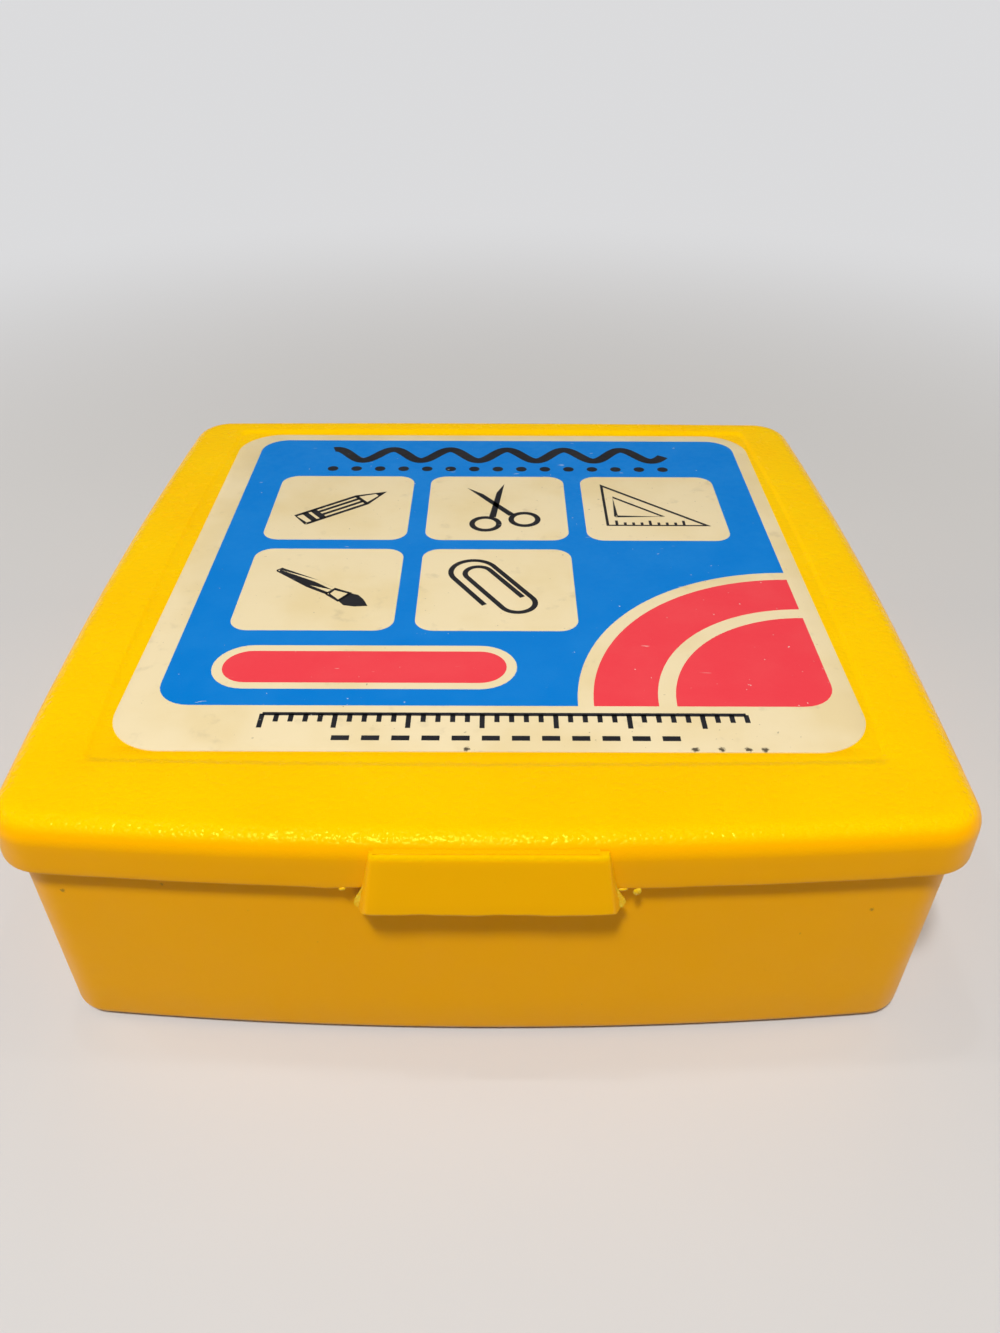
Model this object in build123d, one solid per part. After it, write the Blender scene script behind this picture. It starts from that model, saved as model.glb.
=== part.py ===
"""Small square plastic crayon box: a moulded tray and a skirted snap lid on a living hinge.

Millimetres, +Z up. The origin is on the table under the middle of the lid's outline. The latch tab
faces -Y and the hinge runs along +Y. The lid is drawn closed.
"""
from build123d import *
import math
import os

# Outline of the closed box, as seen from above
LID_WIDTH = 127.0
LID_DEPTH = 127.0
SIDE_BOW = 1.9
FRONT_BOW = 3.0
BACK_BOW = 0.6
LID_CORNER_RADIUS = 7.0

# Heights
BOX_HEIGHT = 39.6
SKIRT_HEIGHT = 7.8

# Mouldings
LID_WALL = 1.4
SKIRT_WALL = 1.2
TRAY_WALL = 1.4
TRAY_FLOOR = 1.5
TOP_EDGE_RADIUS = 3.2
LID_INNER_RADIUS = 0.6
TRAY_CORNER_RADIUS = 5.8
TRAY_DRAFT_DEG = 1.5
TRAY_FOOT_RADIUS = 1.8
TRAY_INNER_FOOT_RADIUS = 1.2
RIM_EDGE_RADIUS = 0.4
SKIRT_EDGE_RADIUS = 0.35

# Fits between the lid and the tray
SIDE_CLEARANCE = 0.45
TRAY_BOW_EASE = 0.25
RIM_CLEARANCE = 0.3

# Sunk panel in the lid's top that frames the label
PANEL_SIDE_MARGIN = 9.7
PANEL_FRONT_MARGIN = 14.5
PANEL_BACK_MARGIN = 6.5
PANEL_FRONT_BOW = 0.8
PANEL_DEPTH = 0.4
PANEL_CORNER_RADIUS = 1.5
PANEL_EDGE_RADIUS = 0.25

# Printed label, stuck in the panel
LABEL_SIDE_GAP = 2.65
LABEL_FRONT_GAP = 2.7
LABEL_BACK_GAP = 1.9
LABEL_CORNER_RADIUS = 8.0
LABEL_THICKNESS = 0.15
LABEL_OFFSET = 0.2

# Living hinge: a land on each moulding and a thin web that folds between them
HINGE_LENGTH = 84.0
LAND_HEIGHT = 1.2
LAND_PROUD = 0.4
HINGE_GAP = 0.6
WEB_THICKNESS = 0.35
WEB_LAP = 0.15
WEB_END_MARGIN = 0.5

# Latch tab in the middle of the front skirt
TAB_TOP_WIDTH = 28.6
TAB_BOTTOM_WIDTH = 32.4
TAB_TOP_DRAFT = 0.2
TAB_BOTTOM_DRAFT = 0.8
TAB_TOP_PROUD = 0.5
TAB_FOOT_PROUD = 1.4
TAB_HANG = 2.8
TAB_EDGE_RADIUS = 0.45
TAB_STEM_WIDTH = 27.0
TAB_STEM_CLEARANCE = 0.3
TAB_STEM_DEPTH = 0.3
TAB_ROOT_HEIGHT = 1.6
HOOK_HEIGHT = 1.5
HOOK_WALL_GAP = 0.5

# Catch bead on the tray that the hook snaps under
CATCH_WIDTH = 24.0
CATCH_HEIGHT = 1.8
CATCH_PROUD = 1.2
CATCH_NOSE_HEIGHT = 0.6
CATCH_HOOK_GAP = 0.3

# How far a cutting block runs past the face that it cuts, and how near an edge must be to a height
CUT_MARGIN = 1.0
HEIGHT_TOLERANCE = 0.01

# Worked out from the sizes above
HALF_DEPTH = LID_DEPTH / 2
SKIRT_Z = BOX_HEIGHT - SKIRT_HEIGHT
LID_UNDERSIDE_Z = BOX_HEIGHT - LID_WALL
RIM_Z = LID_UNDERSIDE_Z - RIM_CLEARANCE
TRAY_TOP_INSET = SKIRT_WALL + SIDE_CLEARANCE
PANEL_Z = BOX_HEIGHT - PANEL_DEPTH
LAND_Y = HALF_DEPTH + LAND_PROUD
HINGE_Z = SKIRT_Z - HINGE_GAP / 2
WEB_RADIUS = HINGE_GAP / 2 + WEB_LAP
TAB_BOTTOM_Z = SKIRT_Z - TAB_HANG
HOOK_TOP_Z = TAB_BOTTOM_Z + HOOK_HEIGHT
CATCH_BOTTOM_Z = HOOK_TOP_Z + CATCH_HOOK_GAP


def draft_inset(z):
    """Inset of the tray's outer face from the lid's outline at height z."""
    return TRAY_TOP_INSET + (RIM_Z - z) * math.tan(math.radians(TRAY_DRAFT_DEG))


def outline(side, front, back, radius, z, side_bow=SIDE_BOW, front_bow=FRONT_BOW):
    """Bowed square face at height z, set in from the lid's outline at the sides, front and back."""
    half = LID_WIDTH / 2 - side
    corner_x = half - side_bow
    front_y = -HALF_DEPTH + front
    back_y = HALF_DEPTH - back
    left_front = (-corner_x, front_y + front_bow)
    right_front = (corner_x, front_y + front_bow)
    right_back = (corner_x, back_y - BACK_BOW)
    left_back = (-corner_x, back_y - BACK_BOW)
    middle_y = (right_front[1] + right_back[1]) / 2
    edges = [
        ThreePointArc(left_front, (0, front_y), right_front),
        ThreePointArc(right_front, (half, middle_y), right_back),
        ThreePointArc(right_back, (0, back_y), left_back),
        ThreePointArc(left_back, (-half, middle_y), left_front),
    ]
    face = make_face(edges)
    return Pos(0, 0, z) * fillet(face.vertices(), radius)


def inset_outline(inset, radius, z, side_bow=SIDE_BOW):
    """Outline set in by the same amount all round."""
    return outline(inset, inset, inset, radius, z, side_bow)


def panel_outline(extra, z):
    """Outline of the sunk panel at height z, let out all round by extra."""
    margins = [margin - extra for margin in (PANEL_SIDE_MARGIN, PANEL_FRONT_MARGIN, PANEL_BACK_MARGIN)]
    return outline(*margins, PANEL_CORNER_RADIUS, z, front_bow=PANEL_FRONT_BOW)


def tray_loft(extra, radius, low, high):
    """Drafted block between two heights, set in from the tray's outer face by extra."""
    side_bow = SIDE_BOW - TRAY_BOW_EASE
    faces = [inset_outline(draft_inset(z) + extra, radius, z, side_bow) for z in (low, high)]
    return loft(faces, ruled=True)


def block(width, y_low, y_high, z_low, z_high):
    """Box centred on X between two Y values and two heights."""
    place = Pos(0, (y_low + y_high) / 2, (z_low + z_high) / 2)
    return place * Box(width, y_high - y_low, z_high - z_low)


def edges_at(shape, z):
    """Edges that lie flat at height z."""
    return shape.edges().filter_by_position(Axis.Z, z - HEIGHT_TOLERANCE, z + HEIGHT_TOLERANCE)


def tray_wall_y(z):
    """Y of the tray's outer front face, on the centre line, at height z."""
    return -HALF_DEPTH + draft_inset(z)


def make_base_tray():
    """Open tray with its hinge land along the back and its catch bead at the front."""
    tray = tray_loft(0, TRAY_CORNER_RADIUS, 0, RIM_Z)
    tray = fillet(edges_at(tray, 0), TRAY_FOOT_RADIUS)
    inner_radius = TRAY_CORNER_RADIUS - TRAY_WALL
    hollow = tray_loft(TRAY_WALL, inner_radius, TRAY_FLOOR, RIM_Z)
    hollow = fillet(edges_at(hollow, TRAY_FLOOR), TRAY_INNER_FOOT_RADIUS)
    tray -= hollow
    tray = fillet(edges_at(tray, RIM_Z), RIM_EDGE_RADIUS)

    land_top = SKIRT_Z - HINGE_GAP
    wall_middle = HALF_DEPTH - draft_inset(land_top) - TRAY_WALL / 2 - BACK_BOW / 2
    land = block(HINGE_LENGTH, wall_middle, LAND_Y, land_top - LAND_HEIGHT, land_top)

    top = CATCH_BOTTOM_Z + CATCH_HEIGHT
    wall = tray_wall_y(CATCH_BOTTOM_Z)
    nose = wall - CATCH_PROUD
    root = wall + TRAY_WALL / 2
    profile = Polyline(
        (root, CATCH_BOTTOM_Z),
        (nose, CATCH_BOTTOM_Z),
        (nose, CATCH_BOTTOM_Z + CATCH_NOSE_HEIGHT),
        (wall, top),
        (root, top),
        close=True,
    )
    catch = along_x(profile, CATCH_WIDTH)
    return tray + land + catch


def along_x(profile, width):
    """Solid of an outline drawn in Y and Z, as wide as stated and centred on X."""
    face = Plane.YZ * make_face(profile)
    return extrude(face, width / 2, both=True)


def make_lid():
    """Skirted lid with a sunk label panel, a hinge land and a notch for the latch tab."""
    lid = extrude(inset_outline(0, LID_CORNER_RADIUS, SKIRT_Z), SKIRT_HEIGHT)
    lid = fillet(edges_at(lid, BOX_HEIGHT), TOP_EDGE_RADIUS)
    hollow_height = SKIRT_HEIGHT - LID_WALL
    inner_radius = LID_CORNER_RADIUS - SKIRT_WALL
    hollow = extrude(inset_outline(SKIRT_WALL, inner_radius, SKIRT_Z), hollow_height)
    hollow = fillet(edges_at(hollow, LID_UNDERSIDE_Z), LID_INNER_RADIUS)
    lid -= hollow
    lid = fillet(edges_at(lid, SKIRT_Z), SKIRT_EDGE_RADIUS)

    lid -= extrude(panel_outline(0, PANEL_Z), PANEL_DEPTH)
    backing_z = LID_UNDERSIDE_Z - PANEL_DEPTH
    lid += extrude(panel_outline(PANEL_DEPTH, backing_z), PANEL_DEPTH)
    lid = fillet(edges_at(lid, PANEL_Z), PANEL_EDGE_RADIUS)

    skirt_middle = HALF_DEPTH - SKIRT_WALL / 2 - BACK_BOW / 2
    lid += block(HINGE_LENGTH, skirt_middle, LAND_Y, SKIRT_Z, SKIRT_Z + LAND_HEIGHT)

    notch_width = TAB_STEM_WIDTH + 2 * TAB_STEM_CLEARANCE
    notch_back = -HALF_DEPTH + SKIRT_WALL + LID_INNER_RADIUS
    notch_front = -HALF_DEPTH - CUT_MARGIN
    notch_bottom = SKIRT_Z - CUT_MARGIN
    return lid - block(notch_width, notch_front, notch_back, notch_bottom, LID_UNDERSIDE_Z)


def tab_shield(top_draft, foot_draft, top_y, foot_y):
    """Flared face of the tab, set in from its widest by the drafts and leaning from top to foot."""
    top = TAB_TOP_WIDTH / 2 - top_draft
    foot = TAB_BOTTOM_WIDTH / 2 - foot_draft
    corners = Polyline(
        (-top, top_y, LID_UNDERSIDE_Z),
        (top, top_y, LID_UNDERSIDE_Z),
        (foot, foot_y, TAB_BOTTOM_Z),
        (-foot, foot_y, TAB_BOTTOM_Z),
        close=True,
    )
    return make_face(corners)


def make_latch_tab():
    """Flared finger tab that leans out from the skirt, with a root at its top and a hook at its foot."""
    top_y = -HALF_DEPTH - TAB_TOP_PROUD
    foot_y = -HALF_DEPTH - TAB_FOOT_PROUD
    back = tab_shield(0, 0, -HALF_DEPTH, -HALF_DEPTH)
    front = tab_shield(TAB_TOP_DRAFT, TAB_BOTTOM_DRAFT, top_y, foot_y)
    plate = loft([back, front], ruled=True)
    plate = fillet(plate.faces().sort_by(Axis.Y)[0].edges(), TAB_EDGE_RADIUS)
    stem_back = -HALF_DEPTH + TAB_STEM_DEPTH
    stem = block(TAB_STEM_WIDTH, -HALF_DEPTH, stem_back, TAB_BOTTOM_Z, LID_UNDERSIDE_Z)
    root_back = -HALF_DEPTH + SKIRT_WALL
    root_bottom = LID_UNDERSIDE_Z - TAB_ROOT_HEIGHT
    root = block(TAB_STEM_WIDTH, -HALF_DEPTH, root_back, root_bottom, LID_UNDERSIDE_Z)
    hook_tip = tray_wall_y(HOOK_TOP_Z) - HOOK_WALL_GAP
    profile = Polyline(
        (-HALF_DEPTH, TAB_BOTTOM_Z),
        (stem_back, TAB_BOTTOM_Z),
        (hook_tip, TAB_BOTTOM_Z + HOOK_HEIGHT / 2),
        (hook_tip, HOOK_TOP_Z),
        (-HALF_DEPTH, HOOK_TOP_Z),
        close=True,
    )
    return plate + stem + root + along_x(profile, CATCH_WIDTH)


def make_hinge_web():
    """Thin folded web of the living hinge, a half tube that joins the two lands."""
    length = HINGE_LENGTH - 2 * WEB_END_MARGIN
    reach = WEB_RADIUS + WEB_THICKNESS
    ring = Cylinder(reach, length) - Cylinder(WEB_RADIUS, length)
    tube = Pos(0, LAND_Y, HINGE_Z) * Rot(0, 90, 0) * ring
    return tube & block(length, LAND_Y, LAND_Y + reach, HINGE_Z - reach, HINGE_Z + reach)


def make_label():
    """Thin rounded label on the floor of the lid's panel."""
    width = LID_WIDTH - 2 * (PANEL_SIDE_MARGIN + LABEL_SIDE_GAP)
    front_y = -HALF_DEPTH + PANEL_FRONT_MARGIN + LABEL_FRONT_GAP
    back_y = HALF_DEPTH - PANEL_BACK_MARGIN - LABEL_BACK_GAP
    sheet = RectangleRounded(width, back_y - front_y, LABEL_CORNER_RADIUS)
    place = Pos(LABEL_OFFSET, (front_y + back_y) / 2, PANEL_Z)
    return extrude(place * sheet, LABEL_THICKNESS)


PIECES = {
    "base_tray": make_base_tray,
    "lid": make_lid,
    "latch_tab": make_latch_tab,
    "hinge_web": make_hinge_web,
    "label": make_label,
}

os.makedirs("parts", exist_ok=True)
for name, make in PIECES.items():
    export_step(make(), f"parts/{name}.step")
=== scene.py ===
"""Looks of a small square plastic crayon box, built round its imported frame.

Metres, +Z up, in the frame's own axes: the latch tab faces -Y and the hinge runs along +Y.
Sizes are in millimetres until a mesh is placed, where MM turns them into metres. NEAR is the
distance, in millimetres, under which two places count as one.
"""
import logging
import math
import random
from dataclasses import dataclass, replace
from enum import Enum
from typing import Callable

import bmesh
import bpy
from mathutils import Matrix, Vector


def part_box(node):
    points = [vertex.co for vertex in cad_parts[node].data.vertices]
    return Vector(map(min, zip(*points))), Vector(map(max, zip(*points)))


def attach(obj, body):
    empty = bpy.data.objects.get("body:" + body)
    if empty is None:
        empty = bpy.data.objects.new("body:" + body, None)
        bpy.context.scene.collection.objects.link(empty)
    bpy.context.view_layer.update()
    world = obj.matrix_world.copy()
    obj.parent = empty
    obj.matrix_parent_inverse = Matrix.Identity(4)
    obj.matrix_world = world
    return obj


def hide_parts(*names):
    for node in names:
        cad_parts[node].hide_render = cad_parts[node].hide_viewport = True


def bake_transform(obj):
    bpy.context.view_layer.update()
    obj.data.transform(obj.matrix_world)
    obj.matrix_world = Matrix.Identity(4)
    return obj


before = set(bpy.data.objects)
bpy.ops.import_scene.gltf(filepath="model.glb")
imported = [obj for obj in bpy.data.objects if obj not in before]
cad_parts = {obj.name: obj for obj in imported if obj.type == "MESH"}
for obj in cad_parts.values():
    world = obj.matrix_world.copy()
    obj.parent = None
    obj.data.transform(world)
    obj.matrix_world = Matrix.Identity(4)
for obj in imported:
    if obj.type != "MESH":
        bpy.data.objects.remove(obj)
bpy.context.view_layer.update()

LOG = logging.getLogger("crayon_box")
MM = 0.001
NEAR = 0.01

Piece = bpy.types.Object
Material = bpy.types.Material
Socket = bpy.types.NodeSocket
Point = tuple[float, float]
Place = tuple[float, float, float]
Colour = tuple[float, float, float, float]
Ring = list[Vector]
Shape = list[list[Point]]
Edge = bmesh.types.BMEdge


class Body(Enum):
    """Bodies of the frame that the pieces ride on."""

    TRAY = "tray_body"
    LID = "lid_body"
    TAB = "tab_body"


class Slot(Enum):
    """Material slots of the record."""

    TRAY = "tray_plastic"
    LID = "lid_plastic"
    LABEL = "printed_label"


def box_mm(node: str) -> tuple[Vector, Vector]:
    """Lowest and highest corner of a frame node, in millimetres."""
    low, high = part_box(node)
    return low / MM, high / MM


def steps(count: int, start: float = 0.0, end: float = 1.0) -> list[float]:
    """Values from start to end in so many even intervals, both ends included."""
    return [start + (end - start) * index / count for index in range(count + 1)]


def bump_at(value: float, centre: float, width: float) -> float:
    """Bell curve of height 1 round a centre."""
    return math.exp(-(((value - centre) / width) ** 2))


class Bench:
    """Selection, modifier and edit steps that every piece is made with."""

    @staticmethod
    def clear() -> None:
        """Deselects everything."""
        if bpy.context.mode != "OBJECT":
            bpy.ops.object.mode_set(mode="OBJECT")
        bpy.ops.object.select_all(action="DESELECT")

    @staticmethod
    def take(piece: Piece) -> None:
        """Deselects everything and makes one piece active."""
        Bench.clear()
        piece.select_set(True)
        bpy.context.view_layer.objects.active = piece

    @staticmethod
    def block(name: str, low: Vector, high: Vector) -> Piece:
        """Box between two corners, ready to be shaped.

        Args:
            name: Name of the piece.
            low: Lowest corner, in millimetres.
            high: Highest corner, in millimetres.

        Returns:
            The new object, with its place in its mesh.
        """
        Bench.clear()
        bpy.ops.mesh.primitive_cube_add(size=1.0, location=(low + high) / 2 * MM)
        piece = bpy.context.active_object
        piece.name = name
        piece.scale = (high - low) * MM
        bpy.ops.object.transform_apply(location=True, rotation=True, scale=True)
        return piece

    @staticmethod
    def modify(piece: Piece, kind: str, **settings: object) -> None:
        """Adds one modifier, by Blender's name for its kind, and applies it."""
        Bench.take(piece)
        modifier = piece.modifiers.new(kind.lower(), kind)
        for key, value in settings.items():
            setattr(modifier, key, value)
        bpy.ops.object.modifier_apply(modifier=modifier.name)

    @staticmethod
    def combine(piece: Piece, tool: Piece, operation: str) -> None:
        """Joins a tool solid to a piece by UNION or DIFFERENCE, and removes the tool."""
        Bench.modify(piece, "BOOLEAN", operation=operation, object=tool, solver="EXACT")
        bpy.data.objects.remove(tool)

    @staticmethod
    def add_land(piece: Piece, name: str, low: Vector, high: Vector) -> None:
        """Joins a slightly bevelled block to a piece, for the hinge's web to start from."""
        land = Bench.block(name, low, high)
        Bench.modify(land, "BEVEL", width=0.12 * MM, segments=2)
        Bench.combine(piece, land, "UNION")

    @staticmethod
    def ends(edge: Edge) -> list[Vector]:
        """Both ends of an edge, in millimetres."""
        return [vertex.co / MM for vertex in edge.verts]

    @staticmethod
    def round_edges(
        piece: Piece, chosen: Callable[[Edge], bool], width: float, segments: int
    ) -> None:
        """Bevels the edges that a rule picks, and leaves edit mode.

        Args:
            piece: The piece, in edit mode.
            chosen: Says whether an edge is bevelled.
            width: Width of the bevel, in millimetres.
            segments: How many faces the bevel gets.
        """
        mesh = bmesh.from_edit_mesh(piece.data)
        bpy.ops.mesh.select_all(action="DESELECT")
        for edge in mesh.edges:
            edge.select_set(chosen(edge))
        bmesh.update_edit_mesh(piece.data)
        bpy.ops.mesh.bevel(offset=width * MM, segments=segments, affect="EDGES")
        bpy.ops.object.mode_set(mode="OBJECT")

    @staticmethod
    def smooth(piece: Piece, degrees: float = 35.0) -> None:
        """Turns all faces outwards and shades them smooth below an angle."""
        Bench.take(piece)
        bpy.ops.object.mode_set(mode="EDIT")
        bpy.ops.mesh.select_all(action="SELECT")
        bpy.ops.mesh.normals_make_consistent(inside=False)
        bpy.ops.object.mode_set(mode="OBJECT")
        bpy.ops.object.shade_smooth_by_angle(angle=math.radians(degrees))

    @staticmethod
    def shift(piece: Piece, move: Callable[[Vector], Vector]) -> None:
        """Moves every vertex by a rule that gives its new place from its old, in millimetres."""
        for vertex in piece.data.vertices:
            vertex.co = move(vertex.co / MM) * MM
        piece.data.update()

    @staticmethod
    def join(pieces: list[Piece], name: str) -> Piece:
        """Joins several objects into the first one, under a name."""
        Bench.take(pieces[0])
        for piece in pieces[1:]:
            piece.select_set(True)
        bpy.ops.object.join()
        pieces[0].name = name
        return pieces[0]

    @staticmethod
    def finish(piece: Piece, body: Body, slot: Slot, material: Material) -> None:
        """Gives a piece its finish and the body that it rides on."""
        piece.data.materials.clear()
        piece.data.materials.append(material)
        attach(piece, body.value)
        LOG.info("%s: %d faces, rides on %s", piece.name, len(piece.data.polygons), body.value)


@dataclass(frozen=True)
class BowedSquare:
    """Rounded square whose four sides bow outwards, seen from above, in millimetres."""

    half_width: float
    front_y: float
    back_y: float
    side_bow: float
    front_bow: float
    back_bow: float
    radius: float
    side_steps: int = 40
    corner_steps: int = 12

    def inset(self, side: float, front: float, back: float, radius: float) -> "BowedSquare":
        """Outline set in by its own amount at the sides, front and back."""
        return replace(
            self,
            half_width=self.half_width - side,
            front_y=self.front_y + front,
            back_y=self.back_y - back,
            radius=radius,
        )

    def shrink(self, amount: float) -> "BowedSquare":
        """Outline set in by the same amount all round, its corners with it."""
        return self.inset(amount, amount, amount, max(self.radius - amount, 0.3))

    def sides(self) -> list[tuple[Vector, float]]:
        """Centre and radius of the circle that each side follows, front first, anticlockwise."""
        corner_x = self.half_width - self.side_bow
        low_y = self.front_y + self.front_bow
        high_y = self.back_y - self.back_bow
        middle_y = (low_y + high_y) / 2
        half_side = (high_y - low_y) / 2
        front = (corner_x**2 / self.front_bow + self.front_bow) / 2
        back = (corner_x**2 / self.back_bow + self.back_bow) / 2
        side = (half_side**2 / self.side_bow + self.side_bow) / 2
        return [
            (Vector((0, self.front_y + front)), front),
            (Vector((self.half_width - side, middle_y)), side),
            (Vector((0, self.back_y - back)), back),
            (Vector((side - self.half_width, middle_y)), side),
        ]

    def corner_centre(self, index: int) -> Vector:
        """Centre of the rounding between side index and the next one."""
        sides = self.sides()
        (first, first_radius), (second, second_radius) = sides[index], sides[(index + 1) % 4]
        reach_1, reach_2 = first_radius - self.radius, second_radius - self.radius
        line = second - first
        distance = line.length
        along = (reach_1**2 - reach_2**2 + distance**2) / (2 * distance)
        across = math.sqrt(max(reach_1**2 - along**2, 0.0))
        direction = line / distance
        normal = Vector((-direction.y, direction.x))
        corner = Vector(
            (
                self.half_width if index in (0, 1) else -self.half_width,
                self.front_y if index in (0, 3) else self.back_y,
            )
        )
        choices = [first + direction * along + normal * across * sign for sign in (1, -1)]
        return min(choices, key=lambda point: (point - corner).length)

    def ring(self, z: float) -> Ring:
        """Points of the outline at a height, anticlockwise, as many for every outline."""
        points: Ring = []
        corners = [self.corner_centre(index) for index in range(4)]
        for index, (centre, radius) in enumerate(self.sides()):
            facing = math.radians(90 * index - 90)
            start = self.heading(corners[index - 1] - centre, facing)
            end = self.heading(corners[index] - centre, facing)
            for angle in steps(self.side_steps, start, end)[:-1]:
                points.append(self.on_circle(centre, radius, angle, z))
            following = self.sides()[(index + 1) % 4][0]
            turn_end = self.heading(corners[index] - following, end + math.pi / 4)
            for angle in steps(self.corner_steps, end, turn_end)[:-1]:
                points.append(self.on_circle(corners[index], self.radius, angle, z))
        return points

    @staticmethod
    def heading(line: Vector, near: float) -> float:
        """Angle of a line, taken within half a turn of another angle."""
        angle = math.atan2(line.y, line.x)
        return angle + 2 * math.pi * round((near - angle) / (2 * math.pi))

    @staticmethod
    def on_circle(centre: Vector, radius: float, angle: float, z: float) -> Vector:
        """Point of a circle at an angle and a height."""
        return Vector(
            (centre.x + radius * math.cos(angle), centre.y + radius * math.sin(angle), z)
        )


class RingStack:
    """Shell that is grown ring by ring: each ring is extruded from the last and placed."""

    STATION = "station"
    LEVEL = "level"

    def __init__(self, name: str, first: Ring) -> None:
        """Starts the shell with its first ring."""
        Bench.clear()
        bpy.ops.mesh.primitive_circle_add(vertices=len(first), radius=first[0].length * MM)
        self.piece = bpy.context.active_object
        self.piece.name = name
        self.level = 0
        bpy.ops.object.mode_set(mode="EDIT")
        mesh = bmesh.from_edit_mesh(self.piece.data)
        mesh.verts.layers.int.new(self.STATION)
        mesh.verts.layers.int.new(self.LEVEL)
        layer = mesh.verts.layers.int[self.STATION]
        mesh.verts.ensure_lookup_table()
        for station, vertex in enumerate(mesh.verts):
            vertex[layer] = station
            vertex.select_set(True)
        mesh.select_flush(True)
        self.place(first)

    def place(self, ring: Ring) -> None:
        """Puts the selected vertices on a ring."""
        mesh = bmesh.from_edit_mesh(self.piece.data)
        station = mesh.verts.layers.int[self.STATION]
        level = mesh.verts.layers.int[self.LEVEL]
        for vertex in mesh.verts:
            if vertex.select:
                vertex.co = ring[vertex[station]] * MM
                vertex[level] = self.level
        bmesh.update_edit_mesh(self.piece.data)

    @classmethod
    def shell(cls, name: str, rings: list[Ring]) -> Piece:
        """Grows a closed shell through all its rings."""
        stack = cls(name, rings[0])
        for ring in rings[1:]:
            stack.grow(ring)
        return stack.close()

    def grow(self, ring: Ring) -> None:
        """Extrudes the open end to one more ring."""
        bpy.ops.mesh.extrude_region_move(TRANSFORM_OT_translate={"value": (0, 0, 0)})
        self.level += 1
        self.place(ring)

    def cap(self, level: int) -> None:
        """Fills the opening of one ring with a flat face."""
        mesh = bmesh.from_edit_mesh(self.piece.data)
        layer = mesh.verts.layers.int[self.LEVEL]
        bpy.ops.mesh.select_all(action="DESELECT")
        for vertex in mesh.verts:
            vertex.select_set(vertex[layer] == level)
        mesh.select_flush(True)
        bmesh.update_edit_mesh(self.piece.data)
        bpy.ops.mesh.edge_face_add()

    def close(self) -> Piece:
        """Caps both ends and gives the finished shell, in object mode."""
        self.cap(0)
        self.cap(self.level)
        bpy.ops.object.mode_set(mode="OBJECT")
        return self.piece


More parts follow.
